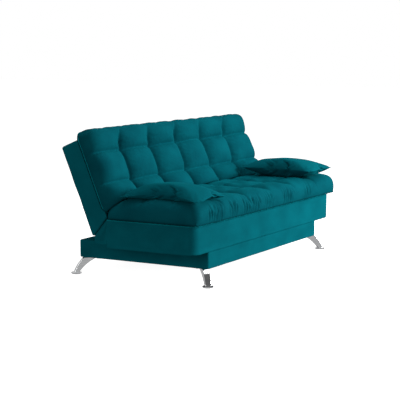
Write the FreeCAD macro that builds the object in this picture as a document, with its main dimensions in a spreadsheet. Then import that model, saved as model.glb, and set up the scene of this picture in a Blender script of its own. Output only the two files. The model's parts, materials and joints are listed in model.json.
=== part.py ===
import FreeCAD, Part
import os
import re

import Sketcher

# Click-clack sofa bed: plinth on four bent legs, upholstered seat box, reclining back, two loose
# pillows.
#
# Frame: +X along the seat, -Y the front where one sits down, +Z up, millimetres.  Names with left
# lie at -X and names with right at +X, as seen facing the sofa.  The origin is on the floor under
# the middle of the overall box.  Pieces of the back are drawn in the back's own frame, whose origin
# is the recline pivot and whose Z runs up the panel; one tilted placement then sets them in the sofa.

SIZES = {
    # overall layout
    "foot_y_front": -455, "foot_y_rear": 460, "foot_x": 797,
    # plinth
    "base_half": 755, "base_front": -432, "base_rear": 459, "base_low": 97, "base_top": 205,
    "board": 18, "skin": 2, "panel": 9, "dust": 1, "cross_rail_x": 250, "cross_rail_wide": 40,
    "block": 112, "block_tall": 40,
    # legs
    "leg_bar_wide": 37, "leg_foot_out": -13.5, "leg_foot_in": 15.5, "leg_top_out": 44,
    "leg_top_in": 130, "leg_outer_bend": 200, "leg_inner_bend": 250, "leg_edge": 2.5,
    "leg_plate": 80, "leg_plate_thick": 4, "leg_plate_at": 142, "flange_radius": 33,
    "flange_low": 3, "flange_top": 9, "glide_radius": 29, "screw_radius": 2.5,
    "screw_head_radius": 5, "screw_head": 2, "screw_long": 30, "screw_along": 16,
    "screw_beside": 30,
    # seat box
    "seat_half": 950, "seat_front": -451, "seat_rear": 138, "seat_top": 376, "seat_corner": 60,
    "rail": 22, "webbing_thick": 2, "webbing_wide": 50, "webbing_pitch": 150, "slat_wide": 70,
    "slat_thick": 18, "slat_pitch": 400, "bolt_radius": 4, "bolt_head_radius": 9, "bolt_head": 4,
    "bolt_y": 330,
    # hinges, side to side
    "arm_notch": 905, "back_arm_at": 913, "seat_arm_at": 919, "arm_thick": 5,
    # hinges, side view
    "pivot_y": 186, "pivot_z": 318, "back_lean": 22.9, "head_radius": 44, "shank_high": 40,
    "shank_long": 200, "rivet_radius": 6, "rivet_gap": 0.05, "rivet_head_radius": 10,
    "rivet_head": 1.5, "tooth_radius": 10, "tooth_at": 48, "tooth_step": 33.5,
    "arm_half": 24, "back_arm_long": 235, "arm_bolt_first": 46, "arm_bolt_pitch": 50,
    "arm_bolt_radius": 3, "arm_bolt_head_radius": 7, "arm_bolt_head": 2, "arm_bolt_long": 14,
    "pin_y": 18, "pin_z": 56, "pin_radius": 3,
    # back frame, in the back's own frame
    "back_half": 950, "back_rear": 63, "back_front": 74, "back_foot": 28, "back_nose_y": 66,
    "back_nose_z": 37, "back_high": 529, "back_corner": 20, "nose_board": 12, "hardboard": 3,
    "low_rail_at": 72, "upright_x": 310, "spacer_low": 96, "spacer_high": 226,
    # soft parts
    "pad_clear": 0.3, "back_pad_half": 988, "back_pad_face": 178, "back_pad_low": 86,
    "back_pad_rise": 9, "back_pad_top": 572, "back_pad_round": 45, "cover": 2,
    "seat_pad_half": 985, "seat_pad_front": -493, "seat_pad_rear": 127, "seat_pad_top": 505,
    "seat_pad_slope": -10, "seat_pad_back_edge": 433, "seat_pad_round": 42,
    "pillow_wide": 320, "pillow_long": 480, "pillow_thick": 110, "pillow_round": 50, "pillow_corner": 55,
    "pillow_x_left": -806, "pillow_x_right": 684, "pillow_y": -251, "pillow_lift": 0.5,
    "gusset_thick": 1, "gusset_inset": 4, "gusset_low": 222,
}

doc = FreeCAD.newDocument("sofa_bed")
sheet = doc.addObject("Spreadsheet::Sheet", "params")
for row, (alias, value) in enumerate(SIZES.items(), start=1):
    sheet.set(f"A{row}", alias)
    sheet.set(f"B{row}", str(value))
    sheet.setAlias(f"B{row}", alias)
doc.recompute()

ALIASES = re.compile(r"\b(" + "|".join(SIZES) + r")\b")
SIDES = (("left", -1), ("right", 1))
nodes = []


def bind(piece, prop, text):
    """Tie one property to a formula of the sheet's dimensions."""
    piece.setExpression(prop, ALIASES.sub(r"params.\1", str(text)))


def place(piece, at):
    """Tie a piece's position to three formulas."""
    for axis, text in zip("xyz", at):
        bind(piece, f"Placement.Base.{axis}", text)
    return piece


def keep(piece, label):
    """Name a finished sub-part and list it for export."""
    piece.Label = label
    nodes.append(piece)
    return piece


def box(name, low, size):
    """A rectangular block from its lowest corner and its three sides."""
    piece = doc.addObject("Part::Box", name)
    for prop, text in zip(("Length", "Width", "Height"), size):
        bind(piece, prop, text)
    return place(piece, low)


def rod(name, at, radius, length, axis=(0, 0, 1)):
    """A round rod from the middle of one end along an axis."""
    piece = doc.addObject("Part::Cylinder", name)
    bind(piece, "Radius", radius)
    bind(piece, "Height", length)
    turn = FreeCAD.Rotation(FreeCAD.Vector(0, 0, 1), FreeCAD.Vector(*axis))
    piece.Placement = FreeCAD.Placement(FreeCAD.Vector(), turn)
    return place(piece, at)


def group(name, members):
    """Separate solids of one kind held together as one object."""
    piece = doc.addObject("Part::Compound", name)
    piece.Links = members
    return piece


def cut(name, base, tool):
    """One shape less another."""
    piece = doc.addObject("Part::Cut", name)
    piece.Base = base
    piece.Tool = tool
    return piece


def tilt(piece):
    """Move a piece from the back's own frame to its place in the sofa."""
    pivot = FreeCAD.Rotation(FreeCAD.Vector(-1, 0, 0), float(SIZES["back_lean"]))
    piece.Placement = FreeCAD.Placement(FreeCAD.Vector(), pivot)
    bind(piece, "Placement.Rotation.Angle", "back_lean")
    return place(piece, ("0", "pivot_y", "pivot_z"))


def keep_back(members, label):
    """Finish a sub-part of the back from solids drawn in the back's own frame."""
    return keep(tilt(group(label + "_group", members)), label)


def sketch_on(body, role, name):
    """An empty sketch on one of a body's own origin planes."""
    drawn = body.newObject("Sketcher::SketchObject", name)
    plane = next(f for f in body.Origin.OriginFeatures if f.Role == role)
    drawn.AttachmentSupport = [(plane, "")]
    drawn.MapMode = "FlatFace"
    return drawn


def prism(name, role, outline, depth, rounds=(), bends=None):
    """A body padded both ways from a closed outline of formula points.

    rounds lists (corner numbers, radius formula): the long edges standing on those corners of the
    outline are rounded.  bends gives the sides of the outline that are arcs, each with its radius
    and whether it bulges to the left (1) or the right (-1) of its own direction.
    """
    bends = bends or {}
    body = doc.addObject("PartDesign::Body", name)
    drawn = sketch_on(body, role, name + "_outline")
    values = [[value_of(text) for text in point] for point in outline]
    count = len(outline)
    first = [1] * count
    for here in range(count):
        start = FreeCAD.Vector(*values[here], 0)
        end = FreeCAD.Vector(*values[(here + 1) % count], 0)
        if here in bends:
            radius, turn = bends[here]
            side = arc_between(start, end, value_of(radius), turn)
            first[here] = 2 if turn > 0 else 1
        else:
            side = Part.LineSegment(start, end)
        drawn.addGeometry(side)
    for here in range(count):
        after = (here + 1) % count
        drawn.addConstraint(
            Sketcher.Constraint("Coincident", here, 3 - first[here], after, first[after]))
    for here, point in enumerate(outline):
        for kind, number, text in zip(("DistanceX", "DistanceY"), values[here], point):
            line = drawn.addConstraint(Sketcher.Constraint(kind, -1, 1, here, first[here], number))
            bind(drawn, f"Constraints[{line}]", text)
    for here, (radius, _) in bends.items():
        line = drawn.addConstraint(Sketcher.Constraint("Radius", here, value_of(radius)))
        bind(drawn, f"Constraints[{line}]", radius)
    pad = body.newObject("PartDesign::Pad", name + "_pad")
    pad.Profile = drawn
    pad.Midplane = True
    bind(pad, "Length", depth)
    doc.recompute()
    for corners, radius in rounds:
        spots = [values[corner] for corner in corners]
        round_off(body, radius, edges_at(body.Tip.Shape, role, spots))
    return body


def arc_between(start, end, radius, turn):
    """A shallow arc that bulges to the left (turn 1) or right (-1) of the way to its end."""
    chord = end - start
    rise = radius - (radius ** 2 - (chord.Length / 2) ** 2) ** 0.5
    left = FreeCAD.Vector(-chord.y, chord.x, 0).normalize()
    return Part.Arc(start, (start + end) / 2 + left * rise * turn, end)


def round_off(body, radius, edge_names):
    """Add a fillet to the named edges of a body's last feature."""
    last = body.Tip
    fillet = body.newObject("PartDesign::Fillet", body.Name + "_round")
    fillet.Base = (last, edge_names)
    bind(fillet, "Radius", radius)
    body.Tip = fillet
    doc.recompute()


def value_of(text):
    """The present value of a formula of the sheet's dimensions."""
    probe = doc.addObject("App::FeaturePython", "probe")
    probe.addProperty("App::PropertyFloat", "Value")
    bind(probe, "Value", text)
    probe.recompute()
    number = float(probe.Value)
    doc.removeObject(probe.Name)
    return number


def edges_at(shape, role, spots):
    """Names of the edges that stand on the given sketch points, square to the sketch."""
    axes = {"XY_Plane": (0, 1), "XZ_Plane": (0, 2), "YZ_Plane": (1, 2)}[role]
    found = []
    for number, edge in enumerate(shape.Edges, start=1):
        ends = [vertex.Point for vertex in edge.Vertexes]
        flat = [tuple(point[axis] for axis in axes) for point in ends]
        if len(ends) == 2 and abs(flat[0][0] - flat[1][0]) + abs(flat[0][1] - flat[1][1]) < 0.01:
            if any(abs(flat[0][0] - a) + abs(flat[0][1] - b) < 0.02 for a, b in spots):
                found.append(f"Edge{number}")
    return found


def soften(body, radius, chosen):
    """Round the edges of a body that a test picks out."""
    names = [f"Edge{n}" for n, edge in enumerate(body.Tip.Shape.Edges, start=1) if chosen(edge)]
    round_off(body, radius, names)
    return body


def across(edge):
    """Whether an edge lies in a plane square to X, at either end of a prism along X."""
    return edge.BoundBox.XLength < 0.01


# ---- plinth ----

BOARD_LOW = "base_low"
BOARD_TALL = "base_top - skin - panel - base_low"
INNER_HALF = "base_half - skin"
LEG_CORNERS = [(side, sx, end, sy) for side, sx in SIDES for end, sy in (("front", -1), ("rear", 1))]
FOOT_Y = {"front": "foot_y_front", "rear": "foot_y_rear"}
DIAGONAL = "* sqrt(0.5)"


def plate_centre(sx, sy, end):
    """The middle of a leg's plate, inward from the foot along the diagonal."""
    return (f"{sx} * (foot_x - leg_plate_at {DIAGONAL})",
            f"{FOOT_Y[end]} - {sy} * leg_plate_at {DIAGONAL}")


def screw_spots():
    """Centres of the four screws in each leg plate."""
    spots = []
    for side, sx, end, sy in LEG_CORNERS:
        x, y = plate_centre(sx, sy, end)
        for along in ("screw_along", "-screw_along"):
            for beside in ("screw_beside", "-screw_beside"):
                spots.append((f"{x} + {sx} * ({along} + {beside}) {DIAGONAL}",
                              f"{y} + {sy} * ({along} - ({beside})) {DIAGONAL}"))
    return spots


def bolt_spots():
    """Centres of the bolts that hold the seat box on the plinth."""
    return [(f"{sx} * slat_pitch * {step}", f"{sy} * bolt_y - 60")
            for sx in (-1, 1) for step in ("0.5", "1.5") for sy in (-1, 0.35)]


def screw_holes(name):
    """Tools that clear the leg screws."""
    return group(name, [rod(f"{name}_{n}", (x, y, "base_low - 10"), "screw_radius", "60")
                        for n, (x, y) in enumerate(screw_spots())])


def bolt_holes(name):
    """Tools that clear the seat bolts."""
    return group(name, [rod(f"{name}_{n}", (x, y, "base_top - 60"), "bolt_radius", "120")
                        for n, (x, y) in enumerate(bolt_spots())])


def make_plinth():
    """Boards, rails, blocks, top panel and covers of the plinth."""
    board_long = f"2 * ({INNER_HALF})"
    for label, y in (("base_front_board", "base_front + skin"),
                     ("base_rear_board", "base_rear - skin - board")):
        keep(box(label + "_box", (f"-({INNER_HALF})", y, BOARD_LOW),
                 (board_long, "board", BOARD_TALL)), label)
    side_long = "base_rear - base_front - 2 * skin - 2 * board"
    sides = [box(f"base_side_{side}", (f"{sx} * ({INNER_HALF} - board / 2) - board / 2",
                                       "base_front + skin + board", BOARD_LOW),
                 ("board", side_long, BOARD_TALL)) for side, sx in SIDES]
    keep(group("base_sides", sides), "base_side_boards")
    rails = [box(f"base_rail_{n}", (f"{n} * cross_rail_x - cross_rail_wide / 2",
                                    "base_front + skin + board", "base_low + board"),
                 ("cross_rail_wide", side_long, f"{BOARD_TALL} - board")) for n in (-1, 0, 1)]
    keep(group("base_rails", rails), "base_cross_rails")
    blocks = []
    for side, sx, end, sy in LEG_CORNERS:
        x, y = f"{sx} * ({INNER_HALF} - board - block / 2) - block / 2", "base_front + skin + board"
        if end == "rear":
            y = "base_rear - skin - board - block"
        blocks.append(box(f"block_{end}_{side}", (x, y, "base_low + dust"),
                          ("block", "block", "block_tall")))
    keep(cut("base_blocks_drilled", group("base_blocks", blocks), screw_holes("block_holes")),
         "base_corner_blocks")
    top = box("base_panel", (f"-({INNER_HALF})", "base_front + skin", "base_top - skin - panel"),
              (board_long, "base_rear - base_front - 2 * skin", "panel"))
    keep(cut("base_panel_drilled", top, bolt_holes("panel_holes")), "base_top_panel")
    outside = box("base_outside", ("-base_half", "base_front", BOARD_LOW),
                  ("2 * base_half", "base_rear - base_front", "base_top - base_low"))
    inside = box("base_inside", (f"-({INNER_HALF})", "base_front + skin", BOARD_LOW),
                 (board_long, "base_rear - base_front - 2 * skin", "base_top - base_low - skin"))
    wrap = cut("base_wrap", outside, inside)
    keep(cut("base_wrap_drilled", wrap, bolt_holes("wrap_holes")), "base_cover")
    cloth = box("base_cloth", (f"-({INNER_HALF} - board)", "base_front + skin + board", BOARD_LOW),
                (f"2 * ({INNER_HALF} - board)", side_long, "dust"))
    keep(cut("base_cloth_drilled", cloth, screw_holes("cloth_holes")), "base_dust_cover")


# ---- legs ----

def make_legs():
    """Four bent bars with plates, their foot flanges, glides and screws."""
    plate_low = "base_low - leg_plate_thick"
    flanges = []
    glides = []
    for side, sx, end, sy in LEG_CORNERS:
        name = f"leg_{end}_{side}"
        outline = [("leg_foot_out", "flange_top"), ("leg_top_out", "base_low"),
                   ("leg_top_in", "base_low"), ("leg_foot_in", "flange_top")]
        bar = prism(name + "_bar", "XZ_Plane", outline, "leg_bar_wide",
                    bends={0: ("leg_outer_bend", 1), 2: ("leg_inner_bend", -1)})
        soften(bar, "leg_edge", lambda edge: edge.BoundBox.YLength < 0.01
               and edge.BoundBox.ZLength > 20)
        inward = FreeCAD.Vector(-sx, -sy, 0)
        bar.Placement = FreeCAD.Placement(
            FreeCAD.Vector(), FreeCAD.Rotation(FreeCAD.Vector(1, 0, 0), inward))
        place(bar, (f"{sx} * foot_x", FOOT_Y[end], "0"))
        x, y = plate_centre(sx, sy, end)
        plate = box(name + "_plate", (f"{x} - leg_plate / 2", f"{y} - leg_plate / 2", plate_low),
                    ("leg_plate", "leg_plate", "leg_plate_thick"))
        welded = doc.addObject("Part::Fuse", name + "_weld")
        welded.Base = bar
        welded.Tool = cut(name + "_plate_drilled", plate, screw_holes(name + "_holes"))
        keep(welded, name)
        foot = (f"{sx} * foot_x", FOOT_Y[end])
        flanges.append(rod(name + "_flange", (*foot, "flange_low"), "flange_radius",
                           "flange_top - flange_low"))
        glides.append(rod(name + "_glide", (*foot, "0"), "glide_radius", "flange_low"))
    keep(group("flanges", flanges), "foot_flanges")
    keep(group("glides", glides), "foot_glides")
    screws = []
    for n, (x, y) in enumerate(screw_spots()):
        head = rod(f"screw_head_{n}", (x, y, f"{plate_low} - screw_head"), "screw_head_radius",
                   "screw_head")
        shank = rod(f"screw_shank_{n}", (x, y, plate_low), "screw_radius", "screw_long")
        screw = doc.addObject("Part::Fuse", f"screw_{n}")
        screw.Base = head
        screw.Tool = shank
        screws.append(screw)
    keep(group("screws", screws), "leg_screws")


# ---- seat box ----

RAIL_TOP = "seat_top - webbing_thick"
RAIL_TALL = f"{RAIL_TOP} - base_top"
SEAT_INNER = "seat_half - skin"
STRAIGHT_Y = "seat_front + seat_corner"


def rounded_plan(name, inset, low, high):
    """A block of the seat box's plan, both front corners round, shrunk by an inset."""
    half, front, rear = f"seat_half - {inset}", f"seat_front + {inset}", f"seat_rear - {inset}"
    outline = [(f"-({half})", front), (half, front), (half, rear), (f"-({half})", rear)]
    body = prism(name, "XY_Plane", outline, f"{high} - ({low})",
                 [((0, 1), f"seat_corner - {inset}")])
    return place(body, ("0", "0", f"({high} + ({low})) / 2"))


def facing(sx, near, wide):
    """Lowest X of a piece that starts at a distance from the middle, on either side."""
    return near if sx > 0 else f"-({near}) - ({wide})"


def arm_slots(name, y, deep):
    """Tools that open both sides of a piece for the hinge arms."""
    wide = f"{SEAT_INNER} - rail - arm_notch"
    return group(name, [box(f"{name}_{side}",
                            (facing(sx, "arm_notch", wide), y, "pivot_z - shank_high / 2 - 8"),
                            (wide, deep, "shank_high + 16")) for side, sx in SIDES])


def make_seat_frame():
    """Rails, corner posts, slats, webbing and covers of the seat box."""
    straight = "seat_half - seat_corner"
    keep(box("seat_front_box", (f"-({straight})", "seat_front + skin", "base_top"),
             (f"2 * ({straight})", "rail", RAIL_TALL)), "seat_front_rail")
    for side, sx in SIDES:
        rail = box(f"seat_side_{side}", (facing(sx, f"{SEAT_INNER} - rail", "rail"), STRAIGHT_Y,
                                         "base_top"),
                   ("rail", f"seat_rear - skin - ({STRAIGHT_Y})", RAIL_TALL))
        keep(drill(f"seat_side_drilled_{side}", rail, seat_bolt_spots(), "arm_bolt_radius"),
             f"seat_side_rail_{side}")
    rear = box("seat_rear_box", (f"-({SEAT_INNER} - rail)", "seat_rear - skin - rail", "base_top"),
               (f"2 * ({SEAT_INNER} - rail)", "rail", RAIL_TALL))
    keep(cut("seat_rear_notched", rear, arm_slots("rear_slots", "seat_rear - 60", "90")),
         "seat_rear_rail")
    posts = []
    for side, sx in SIDES:
        post = rod(f"post_{side}", (f"{sx} * ({straight})", STRAIGHT_Y, "base_top"),
                   "seat_corner - skin", RAIL_TALL)
        post.Angle = 90
        turn = 180 if sx < 0 else 270
        post.Placement.Rotation = FreeCAD.Rotation(FreeCAD.Vector(0, 0, 1), turn)
        posts.append(post)
    keep(group("posts", posts), "seat_corner_posts")
    slats = [box(f"slat_{n}", (f"{n} * slat_pitch / 2 - slat_wide / 2", "seat_front + skin + rail",
                               "base_top + dust"),
                 ("slat_wide", "seat_rear - seat_front - 2 * skin - 2 * rail", "slat_thick"))
             for n in (-3, -1, 1, 3)]
    keep(cut("slats_drilled", group("slats", slats), bolt_holes("slat_holes")),
         "seat_cross_slats")
    straps = [box(f"strap_{n}", (f"{n} * webbing_pitch - webbing_wide / 2", "seat_front + 3 * skin",
                                 RAIL_TOP),
                  ("webbing_wide", "seat_rear - seat_front - 6 * skin", "webbing_thick"))
              for n in range(-5, 6)]
    keep(group("straps", straps), "seat_webbing")
    wrap = cut("seat_wrap", rounded_plan("seat_outside", "0", "base_top", "seat_top"),
               rounded_plan("seat_inside", "skin", "base_top - 1", "seat_top + 1"))
    keep(cut("seat_wrap_slotted", wrap, arm_slots("wrap_slots", "seat_rear - 10", "20")),
         "seat_box_cover")
    cloth = box("seat_cloth", (f"-({straight})", "seat_front + skin + rail", "base_top"),
                (f"2 * ({straight})", "seat_rear - seat_front - 2 * skin - 2 * rail", "dust"))
    keep(cut("seat_cloth_drilled", cloth, bolt_holes("seat_cloth_holes")), "seat_dust_cover")
    bolts = []
    for n, (x, y) in enumerate(bolt_spots()):
        shank = rod(f"bolt_shank_{n}", (x, y, "base_top - skin - panel - 6"), "bolt_radius",
                    "slat_thick + dust + skin + panel + 6")
        head = rod(f"bolt_head_{n}", (x, y, "base_top + dust + slat_thick"), "bolt_head_radius",
                   "bolt_head")
        nut = rod(f"bolt_nut_{n}", (x, y, "base_top - skin - panel - 6"), "bolt_head_radius", "6")
        bolt = doc.addObject("Part::MultiFuse", f"bolt_{n}")
        bolt.Shapes = [shank, head, nut]
        bolts.append(bolt)
    keep(group("bolts", bolts), "seat_to_base_bolts")


# ---- hinges ----

def side_plate(name, sx, near, outline, rounds):
    """A plate of the hinge, flat against X, at a distance from the middle."""
    plate = prism(name, "YZ_Plane", outline, "arm_thick", rounds)
    return place(plate, (f"{sx} * ({near} + arm_thick / 2)", "0", "0"))


def drill(name, plate, spots, radius):
    """Holes along X through a plate."""
    rods = [rod(f"{name}_{n}", ("-1000", y, z), radius, "2000", (1, 0, 0))
            for n, (y, z) in enumerate(spots)]
    return cut(name, plate, group(name + "_tools", rods))


def seat_bolt_spots():
    """Bolts along the shank of the seat arm, from its front end."""
    return [(f"pivot_y - shank_long + 20 + {n} * arm_bolt_pitch", "pivot_z") for n in range(3)]


def back_bolt_spots():
    """Bolts up the back arm, in the back's own frame."""
    return [("0", f"spacer_low + 15 + {n} * arm_bolt_pitch") for n in range(3)]


def bolt_set(name, sx, head_near, spots, long):
    """Bolts driven outward along X with their heads on the inner side."""
    bolts = []
    for n, (y, z) in enumerate(spots):
        shank = rod(f"{name}_shank_{n}", (facing(sx, head_near, long), y, z), "arm_bolt_radius",
                    long, (1, 0, 0))
        head = rod(f"{name}_head_{n}", (facing(sx, f"{head_near} - arm_bolt_head",
                                               "arm_bolt_head"), y, z),
                   "arm_bolt_head_radius", "arm_bolt_head", (1, 0, 0))
        bolt = doc.addObject("Part::Fuse", f"{name}_{n}")
        bolt.Base = shank
        bolt.Tool = head
        bolts.append(bolt)
    return bolts


def make_hinges():
    """Seat arms with ratchet heads, back arms, rivets, pawls, springs and bolts."""
    seat_bolts = []
    back_bolts = []
    spacers = []
    pins = []
    springs = []
    for side, sx in SIDES:
        low, high = "pivot_z - shank_high / 2", "pivot_z + shank_high / 2"
        front = "pivot_y - shank_long"
        shank = side_plate(f"shank_{side}", sx, "seat_arm_at",
                           [(front, low), ("pivot_y", low), ("pivot_y", high), (front, high)],
                           [((0, 3), "shank_high / 3")])
        head = rod(f"head_{side}", (facing(sx, "seat_arm_at", "arm_thick"), "pivot_y", "pivot_z"),
                   "head_radius", "arm_thick", (1, 0, 0))
        arm = doc.addObject("Part::Fuse", f"seat_arm_{side}")
        arm.Base = shank
        arm.Tool = head
        teeth = [(f"pivot_y + tooth_at * cos((90 - back_lean - {n} * tooth_step) * 1deg)",
                  f"pivot_z + tooth_at * sin((90 - back_lean - {n} * tooth_step) * 1deg)")
                 for n in range(3)]
        notched = drill(f"seat_arm_notched_{side}", arm, teeth, "tooth_radius")
        bolted = drill(f"seat_arm_bolted_{side}", notched, seat_bolt_spots(), "arm_bolt_radius")
        keep(drill(f"seat_arm_bored_{side}", bolted, [("pivot_y", "pivot_z")], "rivet_radius"),
             f"seat_hinge_arm_{side}")
        seat_bolts += bolt_set(f"seat_bolt_{side}", sx, "seat_arm_at", seat_bolt_spots(),
                               "arm_thick + arm_bolt_long")

        rivet_near = "back_arm_at - rivet_head"
        parts = [rod(f"rivet_shaft_{side}", (facing(sx, rivet_near, "seat_arm_at + arm_thick "
                                                    "+ rivet_head - back_arm_at + rivet_head"),
                                             "pivot_y", "pivot_z"),
                     "rivet_radius", "seat_arm_at + arm_thick + 2 * rivet_head - back_arm_at",
                     (1, 0, 0)),
                 rod(f"rivet_inner_{side}", (facing(sx, rivet_near, "rivet_head"), "pivot_y",
                                             "pivot_z"), "rivet_head_radius", "rivet_head",
                     (1, 0, 0)),
                 rod(f"rivet_outer_{side}", (facing(sx, "seat_arm_at + arm_thick", "rivet_head"),
                                             "pivot_y", "pivot_z"), "rivet_head_radius",
                     "rivet_head", (1, 0, 0))]
        rivet = doc.addObject("Part::MultiFuse", f"rivet_{side}")
        rivet.Shapes = parts
        keep(rivet, f"hinge_rivet_{side}")

        strap = side_plate(f"back_arm_{side}", sx, "back_arm_at",
                           [("-arm_half", "-arm_half"), ("arm_half", "-arm_half"),
                            ("arm_half", "back_arm_long"), ("-arm_half", "back_arm_long")],
                           [((0, 1), "arm_half * 0.9"), ((2, 3), "arm_half / 3")])
        strap = drill(f"back_arm_bolted_{side}", strap, back_bolt_spots(), "arm_bolt_radius")
        strap = drill(f"back_arm_pinned_{side}", strap, [("pin_y", "pin_z")], "pin_radius")
        strap = drill(f"back_arm_bored_{side}", strap, [("0", "0")], "rivet_radius + rivet_gap")
        keep_back([strap], f"back_hinge_arm_{side}")
        spacer_near = "back_arm_at + arm_thick"
        spacer_wide = "back_half - skin - rail - back_arm_at - arm_thick"
        spacers.append(drill(
            f"spacer_drilled_{side}",
            box(f"spacer_{side}", (facing(sx, spacer_near, spacer_wide), "-20", "spacer_low"),
                (spacer_wide, "40", "spacer_high - spacer_low")),
            back_bolt_spots(), "arm_bolt_radius"))
        back_bolts += bolt_set(f"back_bolt_{side}", sx, "back_arm_at", back_bolt_spots(),
                               f"arm_thick + {spacer_wide} + arm_bolt_long")
        pins.append(rod(f"pin_{side}", (facing(sx, "back_arm_at", "2 * arm_thick + 1.8"), "pin_y",
                                        "pin_z"), "pin_radius", "2 * arm_thick + 1.8", (1, 0, 0)))
        springs.append(box(f"spring_{side}", (facing(sx, "back_arm_at + arm_thick", "arm_thick"),
                                              "-22", "pin_z + 9"), ("arm_thick", "34", "1")))
        pawl = side_plate(f"pawl_plate_{side}", sx, "seat_arm_at",
                          [("pin_y + 6", "pin_z + 6"), ("pin_y - 10", "pin_z + 6"),
                           ("pin_y - 25", "pin_z - 4"), ("pin_y - 24", "pin_z - 10.4"),
                           ("pin_y - 16", "pin_z - 10.8"), ("pin_y - 12", "pin_z - 7"),
                           ("pin_y + 6", "pin_z - 5")],
                          [((0, 6), "4")])
        pawl = drill(f"pawl_bored_{side}", pawl, [("pin_y", "pin_z")], "pin_radius + rivet_gap")
        keep_back([pawl], f"pawl_{side}")
    keep(group("seat_arm_bolts", seat_bolts), "seat_hinge_bolts")
    keep_back(back_bolts, "back_hinge_bolts")
    keep_back(spacers, "back_arm_spacers")
    keep_back(pins, "pawl_pins")
    keep_back(springs, "pawl_springs")


# ---- back frame ----

def back_profile(inset):
    """Side outline of the back frame, from the rear lower corner round to the front."""
    return [(f"back_rear - {inset}", f"-back_foot + {inset} * 1.6"),
            (f"back_rear - {inset}", f"back_high - {inset}"),
            ("-back_front", f"back_high - {inset}"),
            ("-back_front", "back_nose_z + 8"),
            ("-back_nose_y", f"back_nose_z + {inset}")]


def make_back_frame():
    """Rails, uprights, boards, webbing and cover of the back."""
    inner = "back_half - skin - rail"
    front, rear = "-back_front + webbing_thick", "back_rear - skin - hardboard"
    deep = f"{rear} - ({front})"
    for side, sx in SIDES:
        outline = [(rear, "-back_foot + 8"), (rear, "back_high - skin - rail"),
                   (front, "back_high - skin - rail"), (front, "back_nose_z + 12"),
                   ("-back_nose_y + 2", "back_nose_z + 3")]
        rail = prism(f"back_side_{side}", "YZ_Plane", outline, "rail")
        place(rail, (f"{sx} * ({inner} + rail / 2)", "0", "0"))
        drilled = drill(f"back_side_drilled_{side}", rail, back_bolt_spots(), "arm_bolt_radius")
        keep_back([drilled], f"back_side_rail_{side}")
    keep_back([box("back_top_box", ("-(back_half - skin)", front, "back_high - skin - rail"),
                   ("2 * (back_half - skin)", deep, "rail"))], "back_top_rail")
    low = box("back_low_box", (f"-({inner})", front, "low_rail_at"),
              (f"2 * ({inner})", deep, "rail"))
    notches = group("low_notches", [
        box(f"low_notch_{side}", (facing(sx, "arm_notch", f"{inner} - arm_notch"), "-30",
                                  "low_rail_at - 1"),
            (f"{inner} - arm_notch", "60", "rail + 2")) for side, sx in SIDES])
    keep_back([cut("back_low_notched", low, notches)], "back_bottom_rail")
    nose = prism("nose_box", "YZ_Plane",
                 [("back_rear - skin - hardboard", "-back_foot + 8"),
                  ("back_rear - skin - hardboard", "-back_foot + 8 + nose_board"),
                  ("-back_nose_y + 2", "back_nose_z + 3 + nose_board"),
                  ("-back_nose_y + 2", "back_nose_z + 3")], "2 * arm_notch")
    keep_back([nose], "back_nose_board")
    uprights = [box(f"upright_{n}", (f"{n} * upright_x - rail / 2", front, "low_rail_at + rail"),
                    ("rail", deep, "back_high - skin - 2 * rail - low_rail_at"))
                for n in (-1, 1)]
    keep_back(uprights, "back_uprights")
    straps = [box(f"back_strap_{n}", ("-(back_half - 20)", "-back_front",
                                      f"low_rail_at + 45 + {n} * 85"),
                  ("2 * (back_half - 20)", "webbing_thick", "webbing_wide")) for n in range(5)]
    keep_back(straps, "back_webbing")
    keep_back([box("back_sheet", ("-(back_half - skin)", rear, "-back_foot + 8"),
                   ("2 * (back_half - skin)", "hardboard", "back_high + back_foot - skin - 8"))],
              "back_rear_panel")
    outer = prism("back_outside", "YZ_Plane", back_profile("0"), "2 * back_half")
    hollow = [("back_rear - skin", "-back_foot + 3.2"), ("back_rear - skin", "back_high - skin"),
              ("-back_front - 1", "back_high - skin"), ("-back_front - 1", "back_nose_z + 9"),
              ("-back_nose_y", "back_nose_z + 2.2")]
    inside = prism("back_inside", "YZ_Plane", hollow, "2 * (back_half - skin)")
    openings = group("foot_slots", [
        box(f"foot_slot_{side}", (facing(sx, "arm_notch", f"{inner} - arm_notch"), "-120", "-60"),
            (f"{inner} - arm_notch", "175", "130")) for side, sx in SIDES])
    keep_back([cut("back_wrap_slotted", cut("back_wrap", outer, inside), openings)],
              "back_box_cover")


# ---- soft parts ----

def make_back_pad():
    """The quilted pad on the front of the back: a foam core in its cover."""
    def solid(name, inset):
        front, low = f"-back_pad_face + {inset}", f"back_pad_low + {inset}"
        rear, top = f"-back_front - pad_clear - {inset}", f"back_pad_top - {inset}"
        body = prism(name, "YZ_Plane",
                     [(rear, low), (rear, top), (front, top), (front, f"{low} + back_pad_rise")],
                     f"2 * (back_pad_half - {inset})",
                     [((2,), f"back_pad_round - {inset}"), ((3,), "25")])
        return soften(body, "18", across)
    keep_back([cut("back_pad_shell", solid("back_pad_outer", "0"), solid("back_pad_void", "cover"))],
              "back_pad_cover")
    keep_back([solid("back_pad_core", "cover")], "back_pad_foam")


def make_seat_pad():
    """The quilted pad on the seat: a foam core in its cover."""
    def solid(name, inset):
        low, top = f"seat_top + {inset}", f"seat_pad_top - {inset}"
        front, rear = f"seat_pad_front + {inset}", f"seat_pad_rear - {inset}"
        body = prism(name, "YZ_Plane",
                     [(front, low), (front, top), ("seat_pad_slope", top),
                      (rear, f"seat_pad_back_edge - {inset}"), (rear, low)],
                     f"2 * (seat_pad_half - {inset})",
                     [((0, 1), f"seat_pad_round - {inset}"), ((3,), "20")])
        return soften(body, "18", across)
    keep(cut("seat_pad_shell", solid("seat_pad_outer", "0"), solid("seat_pad_void", "cover")),
         "seat_pad_cover")
    keep(solid("seat_pad_core", "cover"), "seat_pad_foam")


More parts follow.
